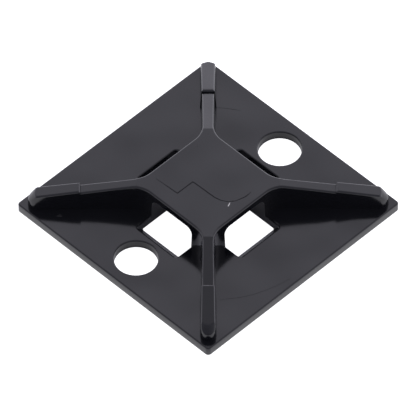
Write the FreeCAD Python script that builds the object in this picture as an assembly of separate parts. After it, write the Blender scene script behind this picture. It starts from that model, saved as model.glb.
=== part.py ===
import FreeCAD, Part
import math
import os

# A four-way cable tie mount, injection moulded in one piece.
# A thin square plate carries a raised platform on four corner posts.
# Two tie channels cross under the platform, and four ribs run from it to the plate's corners.
# Origin at the centre of the mounting face, +Z up, screw holes in line along X. Millimetres.

# Plate
plate_side = 28.0
plate_thickness = 1.0
plate_corner_radius = 0.4
plate_edge_rounding = 0.15

# Screw holes, set slightly inward from the middle of the land between slot and plate edge
hole_diameter = 4.58
hole_inward_shift = 0.335
hole_edge_rounding = 0.15

# Platform, measured over its walls at the top, before the edge is rounded
platform_side = 10.44
platform_height = 4.25
roof_thickness = 0.8
platform_blend_radius = 2.8
platform_edge_rounding = 0.22
crest_bend_radius = 0.6

# Slope of every moulded wall above the plate, and of the ribs' crests
wall_draft_angle = 3.0
crest_fall_angle = 9.4

# Tie channels, and the slots that they leave in the plate beside the platform.
# The outer edge of each slot is bevelled over most of the plate's thickness.
channel_width = 5.8
channel_crown_radius = 0.8
slot_gap = 1.46
slot_bevel = 0.82
slot_corner_radius = 0.35
slot_rim_rounding = 0.22

# Ribs, with their width at the plate.
# The nose of a foot is a cone's flank above an upright toe. It curves in plan, and stays wider than the foot.
rib_width = 1.52
foot_width = 1.72
foot_length = 5.47
foot_step = 0.28
foot_setback = 1.15
foot_draft_angle = 4.0
foot_toe_height = 0.8
foot_nose_angle = 56.0
foot_nose_clearance = 0.4
foot_brow_rounding = 0.3
foot_edge_rounding = 0.2

# Worked out from the sizes above
draft = math.tan(math.radians(wall_draft_angle))
foot_draft = math.tan(math.radians(foot_draft_angle))
crest_fall = math.tan(math.radians(crest_fall_angle))
wall_rise = platform_height - plate_thickness
platform_half_at_plate = platform_side / 2 + draft * wall_rise
blend_radius_at_plate = platform_blend_radius - draft * wall_rise
slot_half_reach = platform_half_at_plate + slot_gap
slot_rim_reach = slot_half_reach + slot_bevel
hole_distance = (slot_rim_reach + plate_side / 2) / 2 - hole_inward_shift
hole_radius = min(hole_diameter, 0.75 * (plate_side / 2 - slot_rim_reach)) / 2
hole_land = hole_distance - hole_radius - slot_rim_reach
corner_distance = plate_side / math.sqrt(2)
foot_end = corner_distance - foot_setback
foot_start = foot_end - foot_length
crest_start = platform_side / math.sqrt(2)
channel_height = platform_height - roof_thickness
step_height = platform_height - crest_fall * (foot_start - crest_start)
foot_height = step_height + foot_step
toe_top = plate_thickness + foot_toe_height
toe_end = foot_end - foot_draft * foot_toe_height
nose_narrowing = 1 / math.tan(math.radians(foot_nose_angle))
crest_over_toe = foot_height - crest_fall * (toe_end - foot_start) - toe_top
brow_height = crest_over_toe / (1 - crest_fall * nose_narrowing)
brow_half = foot_width / 2 - foot_draft * (toe_top + brow_height - plate_thickness)
nose_sweep = brow_half + foot_nose_clearance + nose_narrowing * brow_height


def polar(x, y, radius, degrees):
    """The point at a radius and an angle round (x, y)."""
    turn = math.radians(degrees)
    return (x + radius * math.cos(turn), y + radius * math.sin(turn))


def edge_through(points):
    """A straight edge between two points, or an arc through three."""
    curve = Part.LineSegment(*points) if len(points) == 2 else Part.Arc(*points)
    return curve.toShape()


def level_wire(pieces, z):
    """A closed wire at height z, from pieces of two or three (x, y) points each."""
    return Part.Wire([edge_through([FreeCAD.Vector(x, y, z) for x, y in piece]) for piece in pieces])


def between(lower_wire, upper_wire):
    """The solid whose straight walls lead from one wire up to the other."""
    return Part.makeLoft([lower_wire, upper_wire], True, True)


def rounded_block(length, width, radius, bottom, top):
    """A block centred on Z, with its upright corners rounded."""
    block = Part.makeBox(length, width, top - bottom, FreeCAD.Vector(-length / 2, -width / 2, bottom))
    upright = [edge for edge in block.Edges if edge.BoundBox.ZLength > (top - bottom) / 2]
    return block.makeFillet(radius, upright)


def faces_up(face):
    """True for a face that looks upwards, level or sloping like a crest or a nose."""
    middle = face.Surface.parameter(face.CenterOfMass)
    return face.normalAt(*middle).z > 0.3


def upper_edges(shape, above, keep, looking_up=1):
    """Edges above a height that pass keep(edge), where one or both faces look up."""
    found = {}
    for face in shape.Faces:
        if faces_up(face):
            for edge in face.Edges:
                found.setdefault(edge.hashCode(), []).append(edge)
    wanted = [edges[0] for edges in found.values() if len(edges) == looking_up]
    return [edge for edge in wanted if edge.BoundBox.ZMin > above and keep(edge)]


def slot_outline(half_length, z):
    """The outline in the plate of the channel along X, with rounded corners."""
    radius = min(slot_corner_radius, 0.45 * channel_width)
    x, y = half_length - radius, channel_width / 2 - radius
    centres = [(x, y), (-x, y), (-x, -y), (x, -y)]
    pieces = []
    for turn, centre in enumerate(centres):
        arc = [polar(*centre, radius, 90 * turn + degrees) for degrees in (0, 45, 90)]
        pieces.append(arc)
        pieces.append([arc[2], polar(*centres[(turn + 1) % 4], radius, 90 * turn + 90)])
    return level_wire(pieces, z)


def plate_opening():
    """The cross that both tie channels cut through the plate, with bevelled ends."""
    depth = min(slot_bevel, 0.9 * plate_thickness)
    bevel_foot = plate_thickness - depth
    shaft = between(slot_outline(slot_half_reach, -plate_thickness), slot_outline(slot_half_reach, bevel_foot))
    bevel = between(
        slot_outline(slot_half_reach, bevel_foot),
        slot_outline(slot_rim_reach, plate_thickness),
    )
    along_x = shaft.fuse(bevel)
    along_y = along_x.copy()
    along_y.rotate(FreeCAD.Vector(0, 0, 0), FreeCAD.Vector(0, 0, 1), 90)
    return along_x.fuse(along_y).removeSplitter()


def tunnel(turn):
    """The space of one tie channel under the platform, its upper edges rounded."""
    length = 2 * slot_half_reach
    corner = FreeCAD.Vector(-length / 2, -channel_width / 2, -plate_thickness)
    space = Part.makeBox(length, channel_width, channel_height + plate_thickness, corner)
    crown = [
        edge
        for edge in space.Edges
        if edge.BoundBox.XLength > length / 2 and edge.BoundBox.ZMin > channel_height / 2
    ]
    space = space.makeFillet(min(channel_crown_radius, 0.45 * channel_width), crown)
    space.rotate(FreeCAD.Vector(0, 0, 0), FreeCAD.Vector(0, 0, 1), turn)
    return space


def make_plate():
    """The plate with its screw holes and slots, all their upper edges rounded."""
    skin = 0.9 * plate_thickness
    limit = min(0.8 * plate_thickness, 0.45 * hole_land)
    plate = rounded_block(plate_side, plate_side, plate_corner_radius, 0, plate_thickness)
    plate = plate.makeFillet(min(plate_edge_rounding, limit), upper_edges(plate, skin, lambda edge: True))

    for side in (-1, 1):
        centre = FreeCAD.Vector(side * hole_distance, 0, 0)
        plate = plate.cut(Part.makeCylinder(hole_radius, plate_thickness, centre))
    full_circle = lambda edge: edge.isClosed()
    plate = plate.makeFillet(min(hole_edge_rounding, limit), upper_edges(plate, skin, full_circle))

    plate = plate.cut(plate_opening())
    slot_rims = [
        edge
        for edge in plate.Edges
        if edge.BoundBox.ZMin > plate_thickness - 1e-4
        and max(abs(edge.BoundBox.Center.x), abs(edge.BoundBox.Center.y)) < slot_rim_reach + 1e-3
    ]
    return plate.makeFillet(min(slot_rim_rounding, limit), slot_rims)


def star_wire(platform_half, rib_half, blend_radius, z):
    """Outline of the platform and its four ribs, with a concave arc wherever two walls meet."""
    arc_x = platform_half + blend_radius
    arc_y = platform_half - rib_half * math.sqrt(2) - blend_radius * math.tan(math.radians(22.5))
    wall_end = (platform_half, arc_y)
    arc_middle = polar(arc_x, arc_y, blend_radius, 157.5)
    rib_begin = polar(arc_x, arc_y, blend_radius, 135)
    along = (foot_start + foot_width / 2) / math.sqrt(2)
    across = rib_half / math.sqrt(2)
    rib_tip = (along + across, along - across)

    mirror = lambda point: (point[1], point[0])
    quarter = [
        [wall_end, arc_middle, rib_begin],
        [rib_begin, rib_tip],
        [rib_tip, mirror(rib_tip)],
        [mirror(rib_tip), mirror(rib_begin)],
        [mirror(rib_begin), mirror(arc_middle), mirror(wall_end)],
        [mirror(wall_end), (-arc_y, platform_half)],
    ]
    pieces = []
    for turn in range(4):
        pieces.extend(quarter)
        quarter = [[(-y, x) for x, y in piece] for piece in quarter]
    return level_wire(pieces, z)


def diamond_wire(apothem, z):
    """A square standing on one corner, so that each side lies square to a rib."""
    reach = apothem * math.sqrt(2)
    return Part.makePolygon([FreeCAD.Vector(*polar(0, 0, reach, 90 * turn), z) for turn in range(5)])


def make_hub():
    """Platform and inner ribs: drafted walls, crests that fall away, and rounded upper edges."""
    below = draft * plate_thickness
    base = star_wire(
        platform_half_at_plate + below,
        rib_width / 2 + below,
        blend_radius_at_plate - below,
        0,
    )
    crest_half = rib_width / 2 - draft * wall_rise
    top = star_wire(platform_side / 2, crest_half, platform_blend_radius, platform_height)
    foot_of_slope = crest_start + platform_height / crest_fall
    crests = between(diamond_wire(foot_of_slope, 0), diamond_wire(crest_start, platform_height))
    hub = between(base, top).common(crests).removeSplitter()

    from_axis = lambda edge: math.hypot(edge.BoundBox.Center.x, edge.BoundBox.Center.y)
    bends = [
        edge
        for edge in hub.Edges
        if edge.BoundBox.ZMin > platform_height - 1e-4 and from_axis(edge) > crest_start - 1e-4
    ]
    hub = hub.makeFillet(crest_bend_radius, bends)
    inside_foot = foot_start + foot_width / 4
    rims = upper_edges(hub, plate_thickness, lambda edge: from_axis(edge) < inside_foot)
    return hub.makeFillet(min(platform_edge_rounding, 0.8 * crest_half), rims)


def foot_wire(half, z):
    """Outline of a foot along X, square at the inner end and half round at the outer end."""
    middle = foot_end - foot_width / 2
    return level_wire(
        [
            [(foot_start, -half), (middle, -half)],
            [(middle, -half), (middle + half, 0), (middle, half)],
            [(middle, half), (foot_start, half)],
            [(foot_start, half), (foot_start, -half)],
        ],
        z,
    )


def under_crest():
    """The space below a foot's falling crest, wider than the foot."""
    beyond = foot_end + foot_width
    level = lambda x: foot_height - crest_fall * (x - foot_start)
    corners = [(foot_start, 0), (foot_start, foot_height), (beyond, level(beyond)), (beyond, 0), (foot_start, 0)]
    side = Part.makePolygon([FreeCAD.Vector(x, -foot_width, z) for x, z in corners])
    return Part.Face(side).extrude(FreeCAD.Vector(0, 2 * foot_width, 0))


def behind_nose():
    """The space inside a foot's nose: a block that ends in a cone standing on the toe."""
    centre_x = toe_end - nose_sweep
    wide = nose_sweep + nose_narrowing * toe_top
    narrow = max(nose_sweep - nose_narrowing * (foot_height - toe_top), 0.05)
    centre = FreeCAD.Vector(centre_x, 0, 0)
    cone = Part.makeCone(wide, narrow, foot_height, centre)
    cone.rotate(centre, FreeCAD.Vector(0, 0, 1), 180)
    corner = FreeCAD.Vector(foot_start, -foot_width, 0)
    return cone.fuse(Part.makeBox(centre_x - foot_start, 2 * foot_width, foot_height, corner))


def make_foot():
    """The thicker outer end of a rib, lying along X."""
    half = foot_width / 2
    outline = between(
        foot_wire(half + foot_draft * plate_thickness, 0),
        foot_wire(half - foot_draft * wall_rise, platform_height),
    )
    foot = outline.common(under_crest()).common(behind_nose()).removeSplitter()
    everywhere = lambda edge: True
    brow = upper_edges(foot, plate_thickness, everywhere, looking_up=2)
    foot = foot.makeFillet(foot_brow_rounding, brow)
    return foot.makeFillet(foot_edge_rounding, upper_edges(foot, plate_thickness, everywhere))


mount = make_plate().fuse(make_hub().cut(tunnel(0)).cut(tunnel(90)))
for turn in range(4):
    foot = make_foot()
    foot.rotate(FreeCAD.Vector(0, 0, 0), FreeCAD.Vector(0, 0, 1), 45 + 90 * turn)
    mount = mount.fuse(foot)
mount = mount.removeSplitter()
print("solids", len(mount.Solids), "valid", mount.isValid(), "volume", round(mount.Volume, 2))

os.makedirs("parts", exist_ok=True)
mount.Solids[0].exportStep("parts/cable_tie_mount.step")
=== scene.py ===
import math

import bmesh
import bpy
from mathutils import Matrix, Vector


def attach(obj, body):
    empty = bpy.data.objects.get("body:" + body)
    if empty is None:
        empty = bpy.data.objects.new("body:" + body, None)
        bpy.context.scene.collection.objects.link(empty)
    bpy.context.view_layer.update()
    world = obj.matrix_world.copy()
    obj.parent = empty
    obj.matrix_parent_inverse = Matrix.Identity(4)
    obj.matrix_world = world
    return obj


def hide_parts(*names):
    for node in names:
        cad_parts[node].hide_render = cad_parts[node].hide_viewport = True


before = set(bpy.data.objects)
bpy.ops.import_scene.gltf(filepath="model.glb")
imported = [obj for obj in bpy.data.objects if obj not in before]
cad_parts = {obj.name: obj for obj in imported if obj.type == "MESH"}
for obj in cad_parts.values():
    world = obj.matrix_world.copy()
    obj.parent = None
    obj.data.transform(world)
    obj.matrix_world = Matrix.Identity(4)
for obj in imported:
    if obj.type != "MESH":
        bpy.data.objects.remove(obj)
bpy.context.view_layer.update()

# The moulding
# A plate that two screws hold down, with a platform on posts, under which cable ties pass both ways.
# It is one injection moulding in black nylon, with the gloss that a polished steel tool leaves.
# Its solid from the frame is merged into one closed skin, which the marks below are cut into.
MM = 0.001
weld_distance = 0.0001 * MM
flat_within = math.radians(0.2)
sliver = 0.001 * MM
scene = bpy.context.scene


def placed(name, body):
    """A new object from a bmesh, linked into the scene."""
    mesh = bpy.data.meshes.new(name)
    body.to_mesh(mesh)
    body.free()
    thing = bpy.data.objects.new(name, mesh)
    scene.collection.objects.link(thing)
    return thing


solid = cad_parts["cable_tie_mount"]
skin = bmesh.new()
skin.from_mesh(solid.data)
bmesh.ops.remove_doubles(skin, verts=skin.verts, dist=weld_distance)
bmesh.ops.dissolve_limit(
    skin,
    angle_limit=flat_within,
    verts=skin.verts,
    edges=skin.edges,
)
# The skin is split across each foot, at these millimetres from the centre, so that the rounding at
# the foot's ends doesn't tilt the shading between them.
foot_cuts = (13.6, 14.2, 16.6, 17.2)
diagonals = [Vector((1.0, 1.0, 0.0)).normalized(), Vector((1.0, -1.0, 0.0)).normalized()]
for diagonal in diagonals:
    for from_centre in foot_cuts:
        for side in (-1, 1):
            bmesh.ops.bisect_plane(
                skin,
                geom=skin.verts[:] + skin.edges[:] + skin.faces[:],
                dist=sliver,
                plane_co=diagonal * side * from_centre * MM,
                plane_no=diagonal,
            )
moulding = placed("moulding", skin)

# Witness line
# An insert in the tool's cavity leaves a hairline crack on the platform, in two square steps and a bow.
# It is deeper than wide, so it reads dark, and it thins out at both ends.
platform_z = 4.25 * MM
witness_depth = 0.1 * MM
# The line's points, each with the line's half width there, in millimetres.
witness_line = [
    (-3.43, 4.20, 0.015),
    (-3.36, 2.90, 0.03),
    (-3.28, 1.19, 0.045),
    (-1.05, 1.17, 0.045),
    (-0.98, -1.93, 0.045),
    (-0.80, -2.66, 0.035),
    (-0.43, -3.32, 0.03),
    (0.25, -3.82, 0.03),
    (1.35, -4.12, 0.045),
    (2.26, -4.06, 0.015),
]


def cut_away(tool):
    """Cuts a tool's shape out of the moulding and removes the tool."""
    cut = moulding.modifiers.new("cut", "BOOLEAN")
    cut.operation = "DIFFERENCE"
    cut.solver = "EXACT"
    cut.object = tool
    shown = moulding.evaluated_get(bpy.context.evaluated_depsgraph_get())
    carved = bpy.data.meshes.new_from_object(shown)
    moulding.modifiers.remove(cut)
    spent = moulding.data
    moulding.data = carved
    bpy.data.meshes.remove(spent)
    used = tool.data
    bpy.data.objects.remove(tool)
    bpy.data.meshes.remove(used)


def hairline(points, z, depth):
    """Cuts a square-sided hairline through (x, y, half width) points on a level face, in millimetres."""
    tool = bmesh.new()
    path = [Vector((x * MM, y * MM, z)) for x, y, half_width in points]
    rise = Vector((0.0, 0.0, depth))
    end = None
    for here, point in enumerate(path):
        before = (point - path[here - 1]).normalized() if here else None
        after = (path[here + 1] - point).normalized() if here + 1 < len(path) else None
        ahead = ((before or after) + (after or before)).normalized()
        across = Vector((-ahead.y, ahead.x, 0.0)) * points[here][2] * MM / ahead.dot(before or after)
        corners = (point + across + rise, point + across - rise, point - across - rise, point - across + rise)
        if end is None:
            end = tool.faces.new([tool.verts.new(corner) for corner in corners])
        else:
            grown = bmesh.ops.extrude_face_region(tool, geom=[end, *end.edges])["geom"]
            end = next(part for part in grown if isinstance(part, bmesh.types.BMFace))
            for vert, corner in zip(end.verts, corners):
                vert.co = corner
    bmesh.ops.recalc_face_normals(tool, faces=tool.faces)
    cut_away(placed("hairline_tool", tool))


hairline(witness_line, platform_z, witness_depth)

# Flow lines
# Where two fronts of the melt met in the thin plate, a faint bowed line stays on its top.
# Both lines are far shallower than the insert's, and fade towards their ends.
plate_z = 1.0 * MM
flow_depth = 0.02 * MM
flow_half_width = 0.022
flow_end_half_width = 0.01
flow_lines = [
    [(-8.52, -10.05), (-6.72, -11.39), (-5.52, -12.04), (-4.25, -12.55), (-2.80, -12.96), (-1.30, -13.23)],
    [(9.61, 8.97), (10.09, 8.42), (10.53, 7.84), (10.96, 7.23), (11.37, 6.61)],
]
for line in flow_lines:
    ends = (line[0], line[-1])
    flow = [(*point, flow_end_half_width if point in ends else flow_half_width) for point in line]
    hairline(flow, plate_z, flow_depth)

# Nicks
# Small dents from handling loose in a bag, where mounts knock against each other's edges.
# Each has its place, its half length and half width, in millimetres, and its turn in degrees.
# The first nick is also where the finish below paints a white glint.
glint_nick_x, glint_nick_y = -0.62, -3.66
glint_nick_half_length, glint_nick_half_width = 0.27, 0.045
glint_nick_turn = 25
dents = [
    (glint_nick_x, glint_nick_y, platform_z, glint_nick_half_length, glint_nick_half_width, glint_nick_turn),
    (-0.05, -3.60, platform_z, 0.12, 0.05, 100),
    (2.69, 4.24, platform_z, 0.10, 0.06, 20),
    (-12.12, 9.58, plate_z, 0.30, 0.12, 130),
    (-11.98, 9.66, plate_z, 0.14, 0.10, 40),
]
# The egg that makes a dent has this half height, and its middle lies this far above the face.
egg_half_height = 0.05 * MM
egg_lift = 0.01 * MM
for x, y, z, half_length, half_width, degrees in dents:
    dent = bmesh.new()
    bmesh.ops.create_icosphere(dent, subdivisions=3, radius=1.0)
    size = Matrix.Diagonal((half_length * MM, half_width * MM, egg_half_height, 1.0))
    spot = Matrix.Translation((x * MM, y * MM, z + egg_lift))
    turned = Matrix.Rotation(math.radians(degrees), 4, "Z")
    bmesh.ops.transform(dent, matrix=spot @ turned @ size, verts=dent.verts)
    cut_away(placed("nick_tool", dent))

# Ejector marks
# Four steel pins push the warm part out of the tool from below, one under the foot of each rib.
# Each leaves a shallow round mark in the flat underside.
pin_radius = 0.8 * MM
pin_depth = 0.04 * MM
pin_distance = 14.5 * MM
for corner in range(4):
    pin = bmesh.new()
    bmesh.ops.create_cone(
        pin,
        segments=48,
        radius1=pin_radius,
        radius2=pin_radius,
        depth=2 * pin_depth,
        cap_ends=True,
    )
    angle = math.radians(45 + 90 * corner)
    reach = Vector((math.cos(angle), math.sin(angle), 0.0)) * pin_distance
    bmesh.ops.translate(pin, vec=reach, verts=pin.verts)
    cut_away(placed("pin_tool", pin))

# Finish
# Moulded black nylon from a polished tool: a deep gloss, with faint sink waves over the broad faces.
# The longest nick carries a painted glint: its colour is made white over it, standing in for a highlight.
nylon_ior = 1.53
shiniest, dullest = 0.12, 0.16
cloud_width = 4.0 * MM
cloud_low, cloud_high = 0.3, 0.7
sink_width, sink_depth = 9.0 * MM, 0.25 * MM
# The tool's polishing scratches are too fine to show, so their grain is drawn half a millimetre wide.
grain_width, grain_depth = 0.5 * MM, 0.01 * MM
grain_strength = 0.04


def srgb(hex_colour):
    """A linear colour with alpha, from sRGB hex text such as "1a2b3c"."""
    values = [int(hex_colour[i:i + 2], 16) / 255 for i in (0, 2, 4)]
    linear = [v / 12.92 if v <= 0.04045 else ((v + 0.055) / 1.055) ** 2.4 for v in values]
    return (*linear, 1.0)


def add(tree, kind, settings=(), **links):
    """A node of a kind, with its settings by name, and its inputs by name or, as in _0, by number."""
    node = tree.nodes.new(kind)
    for name, value in dict(settings).items():
        setattr(node, name, value)
    for name, value in links.items():
        socket = node.inputs[int(name[1:]) if name[1:].isdigit() else name.replace("_", " ")]
        if isinstance(value, bpy.types.NodeSocket):
            tree.links.new(value, socket)
        else:
            socket.default_value = value
    return node


def new_tree(owner):
    """The emptied node tree of a material or a world."""
    owner.use_nodes = True
    owner.node_tree.nodes.clear()
    return owner.node_tree


darker_black, paler_black = srgb("0d0e12"), srgb("101115")
painted_glint_white = srgb("e8e6e2")
nylon = bpy.data.materials.new("moulded_black_nylon")
tree = new_tree(nylon)
where = add(tree, "ShaderNodeTexCoord").outputs["Object"]
# The black is a little uneven in tone and in gloss, in soft clouds.
cloud = add(tree, "ShaderNodeTexNoise", Vector=where, Scale=1 / cloud_width, Detail=3.0)
black = add(
    tree,
    "ShaderNodeMix",
    {"data_type": "RGBA"},
    Factor=cloud.outputs["Fac"],
    _6=darker_black,
    _7=paler_black,
)
sheen = add(
    tree,
    "ShaderNodeMapRange",
    Value=cloud.outputs["Fac"],
    From_Min=cloud_low,
    From_Max=cloud_high,
    To_Min=shiniest,
    To_Max=dullest,
)
# The painted glint's white is full over the middle of its nick, and ends a little beyond the rim.
painted_glint_height = 0.1 * MM
painted_glint_full, painted_glint_end = 0.7, 1.3
painted_glint_space = add(
    tree,
    "ShaderNodeMapping",
    {"vector_type": "TEXTURE"},
    Vector=where,
    Location=(glint_nick_x * MM, glint_nick_y * MM, platform_z),
    Rotation=(0.0, 0.0, math.radians(glint_nick_turn)),
    Scale=(glint_nick_half_length * MM, glint_nick_half_width * MM, painted_glint_height),
)
from_painted_glint = add(tree, "ShaderNodeVectorMath", {"operation": "LENGTH"}, _0=painted_glint_space.outputs["Vector"])
painted_glint = add(
    tree,
    "ShaderNodeMapRange",
    Value=from_painted_glint.outputs["Value"],
    From_Min=painted_glint_end,
    From_Max=painted_glint_full,
)
tone_with_painted_glint = add(
    tree,
    "ShaderNodeMix",
    {"data_type": "RGBA"},
    Factor=painted_glint.outputs["Result"],
    _6=black.outputs[2],
    _7=painted_glint_white,
)
# Broad waves, where the skin drew in as it cooled, carry the fine grain of the tool.
sink = add(tree, "ShaderNodeTexNoise", Vector=where, Scale=1 / sink_width, Detail=1.0)
waves = add(tree, "ShaderNodeBump", Height=sink.outputs["Fac"], Strength=1.0, Distance=sink_depth)
grain = add(tree, "ShaderNodeTexNoise", Vector=where, Scale=1 / grain_width, Detail=2.0)
surface = add(
    tree,
    "ShaderNodeBump",
    Height=grain.outputs["Fac"],
    Strength=grain_strength,
    Distance=grain_depth,
    Normal=waves.outputs["Normal"],
)
shader = add(
    tree,
    "ShaderNodeBsdfPrincipled",
    Base_Color=tone_with_painted_glint.outputs[2],
    Roughness=sheen.outputs["Result"],
    IOR=nylon_ior,
    Normal=surface.outputs["Normal"],
)
add(tree, "ShaderNodeOutputMaterial", Surface=shader.outputs["BSDF"])
# Slivers left by the cuts are taken out, and edges that turn more than this angle are kept crisp.
sharp_angle = math.radians(32)
cleaned = bmesh.new()
cleaned.from_mesh(moulding.data)
bmesh.ops.dissolve_degenerate(cleaned, dist=sliver, edges=cleaned.edges)
cleaned.normal_update()
for face in cleaned.faces:
    face.smooth = True
for edge in cleaned.edges:
    edge.smooth = edge.calc_face_angle() < sharp_angle
cleaned.to_mesh(moulding.data)
cleaned.free()
moulding.data.materials.clear()
moulding.data.materials.append(nylon)
weighted = moulding.modifiers.new("flat_faces_stay_flat", "WEIGHTED_NORMAL")
weighted.keep_sharp = True
weighted.mode = "FACE_AREA_WITH_ANGLE"
weighted.weight = 100
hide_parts("cable_tie_mount")
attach(moulding, "root")

# Floor
# A sheet of white paper. It keeps the mount's soft shadow, and is plain white to the camera.
# In reflections it glows white as painted light. Under the mount it carries painted shade, with painted light
# only under the screw holes.
# From below it is clear, so that the flat underside shows.
paper_half = 400 * MM
paper_z = -0.02 * MM
paper_white = srgb("e7e7e7")
sheet = bmesh.new()
bmesh.ops.create_grid(sheet, x_segments=1, y_segments=1, size=paper_half)
bmesh.ops.translate(sheet, vec=(0.0, 0.0, paper_z), verts=sheet.verts)
floor = placed("floor", sheet)
paper = bpy.data.materials.new("white_paper")
tree = new_tree(paper)
rays = add(tree, "ShaderNodeLightPath")
reflected = add(
    tree,
    "ShaderNodeMath",
    {"operation": "MAXIMUM"},
    _0=rays.outputs["Is Glossy Ray"],
    _1=rays.outputs["Is Transmission Ray"],
)
place = add(tree, "ShaderNodeTexCoord").outputs["Object"]
spot = add(tree, "ShaderNodeSeparateXYZ", Vector=place)
across = add(tree, "ShaderNodeMath", {"operation": "ABSOLUTE"}, _0=spot.outputs["X"]).outputs["Value"]
along = add(tree, "ShaderNodeMath", {"operation": "ABSOLUTE"}, _0=spot.outputs["Y"]).outputs["Value"]
# The painted light in reflections starts just inside the plate's edge, full at first, then at half.
lit_from = 13.9 * MM
full_until = 14.05 * MM
half_from = 14.6 * MM
half_light = 0.5
reach = add(tree, "ShaderNodeMath", {"operation": "MAXIMUM"}, _0=across, _1=along).outputs["Value"]
edge_light = add(
    tree,
    "ShaderNodeMapRange",
    Value=reach,
    From_Min=full_until,
    From_Max=half_from,
    To_Min=1.0,
    To_Max=half_light,
)
beyond_edge = add(tree, "ShaderNodeMath", {"operation": "GREATER_THAN"}, _0=reach, _1=lit_from)
outside = add(
    tree,
    "ShaderNodeMath",
    {"operation": "MULTIPLY"},
    _0=edge_light.outputs["Result"],
    _1=beyond_edge.outputs["Value"],
)
# Under each screw hole the painted light is at half, and fades to painted shade just beyond the hole's wall.
hole_distance = 10.5 * MM
hole_lit_until = 1.8 * MM
hole_dark_from = 2.5 * MM
flat = add(tree, "ShaderNodeCombineXYZ", X=across, Y=along)
from_hole = add(
    tree,
    "ShaderNodeVectorMath",
    {"operation": "DISTANCE"},
    _0=flat.outputs[0],
    _1=(hole_distance, 0.0, 0.0),
)
through_hole = add(
    tree,
    "ShaderNodeMapRange",
    Value=from_hole.outputs["Value"],
    From_Min=hole_lit_until,
    From_Max=hole_dark_from,
    To_Min=half_light,
    To_Max=0.0,
)
open_paper = add(
    tree,
    "ShaderNodeMath",
    {"operation": "MAXIMUM"},
    _0=outside.outputs["Value"],
    _1=through_hole.outputs["Result"],
)
lit = add(
    tree,
    "ShaderNodeMath",
    {"operation": "MULTIPLY"},
    _0=reflected.outputs["Value"],
    _1=open_paper.outputs["Value"],
)
seen = add(
    tree,
    "ShaderNodeMath",
    {"operation": "MAXIMUM"},
    _0=rays.outputs["Is Camera Ray"],
    _1=lit.outputs["Value"],
)
matt = add(tree, "ShaderNodeBsdfDiffuse", Color=paper_white)
glow = add(tree, "ShaderNodeEmission", Strength=seen.outputs["Value"])
both = add(tree, "ShaderNodeAddShader", _0=matt.outputs[0], _1=glow.outputs[0])
under = add(tree, "ShaderNodeNewGeometry").outputs["Backfacing"]
clear = add(tree, "ShaderNodeBsdfTransparent")
one_sided = add(tree, "ShaderNodeMixShader", _0=under, _1=both.outputs[0], _2=clear.outputs[0])
add(tree, "ShaderNodeOutputMaterial", Surface=one_sided.outputs[0])
floor.data.materials.append(paper)

# Camera
# A long lens about a metre away, at the photograph's angle, so the plate's sides hardly converge.
# Its picture is 416 pixels square, moved by half a pixel each way.
azimuth, elevation, roll = -44.7625, 49.2193, -0.3277
distance = 994.18 * MM
nearest, farthest = distance / 10, distance * 10
focal_px = 9616.99
image_px = 416
half_pixel = 0.5 / image_px
aside, above = 0.0241 * MM, 0.0786 * MM
turn, lift, tilt = math.radians(azimuth), math.radians(elevation), math.radians(roll)
back = Vector((math.sin(turn) * math.cos(lift), -math.cos(turn) * math.cos(lift), math.sin(lift)))
right = Vector((math.cos(turn), math.sin(turn), 0.0))
up = back.cross(right)
right, up = math.cos(tilt) * right + math.sin(tilt) * up, math.cos(tilt) * up - math.sin(tilt) * right
lens = bpy.data.cameras.new("camera")
lens.sensor_width = 36.0
lens.lens = focal_px * lens.sensor_width / image_px
lens.clip_start = nearest
lens.clip_end = farthest
lens.shift_x = -half_pixel
lens.shift_y = half_pixel
camera = bpy.data.objects.new("camera", lens)
scene.collection.objects.link(camera)
turned = Matrix((right, up, back)).transposed().to_4x4()
camera.matrix_world = Matrix.Translation(back * distance + right * aside + up * above) @ turned
scene.camera = camera
scene.view_settings.view_transform = "Standard"

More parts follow.
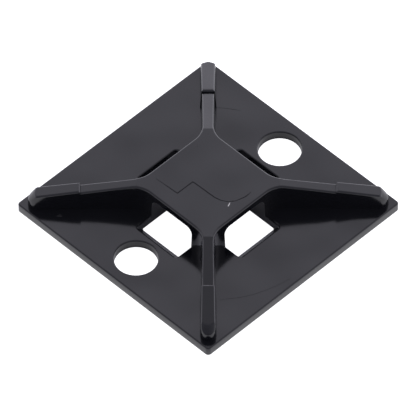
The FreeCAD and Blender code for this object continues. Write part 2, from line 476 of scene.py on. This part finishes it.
# Light
# A white room seen from above the paper: bright behind the mount and a little to its right, dimmer at
# the sides, and grey towards the camera and overhead. Each wall is a run of levels up to the ceiling.
bright_white, shaded_white = "f4f2ff", "ececff"
brightest = 3.2
to_right = math.radians(12)
world = bpy.data.worlds.new("studio")
scene.world = world
tree = new_tree(world)
view = add(tree, "ShaderNodeTexCoord").outputs["Generated"]
height = add(tree, "ShaderNodeSeparateXYZ", Vector=view).outputs["Z"]
level = add(tree, "ShaderNodeVectorMath", {"operation": "MULTIPLY"}, _0=view, _1=(1.0, 1.0, 0.0))
compass = add(tree, "ShaderNodeVectorMath", {"operation": "NORMALIZE"}, _0=level.outputs["Vector"])
away = (-math.sin(turn - to_right), math.cos(turn - to_right), 0.0)
facing = add(
    tree,
    "ShaderNodeVectorMath",
    {"operation": "DOT_PRODUCT"},
    _0=compass.outputs["Vector"],
    _1=away,
).outputs["Value"]
backward = add(tree, "ShaderNodeMath", {"operation": "MULTIPLY"}, _0=facing, _1=-1.0).outputs["Value"]


def wall(levels, tint):
    """The light of one wall, in (elevation in degrees, strength) from the paper to the ceiling."""
    ramp = add(tree, "ShaderNodeValToRGB", Fac=height)
    while len(ramp.color_ramp.elements) < len(levels):
        ramp.color_ramp.elements.new(0.5)
    for stop, (degrees, strength) in zip(ramp.color_ramp.elements, levels):
        stop.position = math.sin(math.radians(degrees))
        stop.color = (*[strength / brightest * c for c in srgb(tint)[:3]], 1.0)
    return ramp.outputs["Color"]


far_wall = wall(
    [(0, 3.2), (10, 2.6), (24, 2.1), (31, 1.85), (37, 1.5), (49, 1.27), (59, 0.65), (70, 0.72), (90, 0.6)],
    bright_white,
)
side_wall = wall(
    [(0, 1.6), (10, 1.3), (24, 0.95), (39, 0.8), (50, 0.5), (59, 0.4), (70, 0.5), (90, 0.6)],
    bright_white,
)
near_wall = wall(
    [(0, 0.25), (24, 0.5), (39, 0.5), (50, 0.6), (65, 0.75), (90, 0.6)],
    shaded_white,
)
front = add(tree, "ShaderNodeMix", {"data_type": "RGBA"}, Factor=facing, _6=side_wall, _7=far_wall)
room = add(tree, "ShaderNodeMix", {"data_type": "RGBA"}, Factor=backward, _6=front.outputs[2], _7=near_wall)
sky = add(tree, "ShaderNodeBackground", Color=room.outputs[2], Strength=brightest)
add(tree, "ShaderNodeOutputWorld", Surface=sky.outputs[0])
